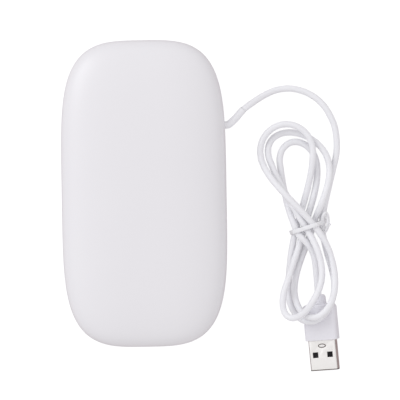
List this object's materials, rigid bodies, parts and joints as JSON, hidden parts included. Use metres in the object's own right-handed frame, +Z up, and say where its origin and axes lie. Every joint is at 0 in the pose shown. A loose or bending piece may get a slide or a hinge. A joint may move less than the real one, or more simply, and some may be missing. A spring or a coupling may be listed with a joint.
{
  "type": "mini nail lamp",
  "caption": "Pebble-shaped nail lamp with U-shaped folding legs, diodes behind reflectors on its underside, a push button, and a tied figure-eight USB lead.",
  "frame": {"origin": "centre of the case's footprint, on the surface that the feet stand on", "axes": "+Z up, +Y along the case towards the rear leg, +X towards the side that the lead leaves"},
  "size_m": [0.1207, 0.1441, 0.022],
  "materials": {
    "case_white": "glossy white",
    "base_white": "satin white",
    "leg_white": "satin white",
    "foot_rubber": "matt grey",
    "screw_steel": "plated",
    "button_grey": "satin",
    "switch_black": "matt",
    "switch_plate": "bare",
    "board_white": "solder mask",
    "reflector_chrome": "vacuum-plated",
    "led_body": "matt",
    "led_lens": "clear",
    "chip_black": "matt",
    "capacitor_can": "brushed",
    "wire_red": "glossy",
    "wire_black": "glossy",
    "cord_white": "satin PVC",
    "tie_white": "glossy PVC",
    "overmould_white": "satin PVC",
    "shell_steel": "nickel-plated",
    "insulator_black": "matt",
    "contact_brass": "gold-plated"
  },
  "bodies": {
    "body": {"top_cover": "case_white", "bottom_case": "base_white", "foot_pads": "foot_rubber", "case_screws": "screw_steel", "switch_housing": "switch_black", "switch_plate": "switch_plate", "led_board": "board_white", "board_screws": "screw_steel", "reflector_front": "reflector_chrome", "reflector_rear": "reflector_chrome", "led_body_1": "led_body", "led_body_2": "led_body", "led_body_3": "led_body", "led_body_4": "led_body", "led_body_5": "led_body", "led_body_6": "led_body", "led_lens_1": "led_lens", "led_lens_2": "led_lens", "led_lens_3": "led_lens", "led_lens_4": "led_lens", "led_lens_5": "led_lens", "led_lens_6": "led_lens", "timer_chip": "chip_black", "driver_transistors": "chip_black", "led_resistors": "chip_black", "capacitor": "capacitor_can", "wire_red": "wire_red", "wire_black": "wire_black", "inner_cord": "cord_white", "strain_relief": "cord_white", "cord_lead": "cord_white", "cord_hank": "cord_white", "cord_tail": "cord_white", "cord_tie": "tie_white", "plug_overmould": "overmould_white", "usb_shell": "shell_steel", "usb_insulator": "insulator_black", "usb_contacts": "contact_brass"},
    "leg_front": {"leg_front": "leg_white", "leg_pad_front": "foot_rubber"},
    "leg_rear": {"leg_rear": "leg_white", "leg_pad_rear": "foot_rubber"},
    "button": {"power_button": "button_grey", "switch_plunger": "switch_black"}
  },
  "joints": [
    {"name": "leg_rear_hinge", "type": "hinge", "parent": "body", "child": "leg_rear", "pos_m": [0, 0.05, 0.0033], "axis": [1, 0, 0], "range_deg": [0, 100]},
    {"name": "leg_front_hinge", "type": "hinge", "parent": "body", "child": "leg_front", "pos_m": [0, -0.05, 0.0033], "axis": [-1, 0, 0], "range_deg": [0, 100]},
    {"name": "button_press", "type": "slide", "parent": "body", "child": "button", "axis": [0, 0, 1], "range_m": [0, 0.0004], "stiffness_N_per_m": 2000, "springref_m": -0.0002}
  ]
}
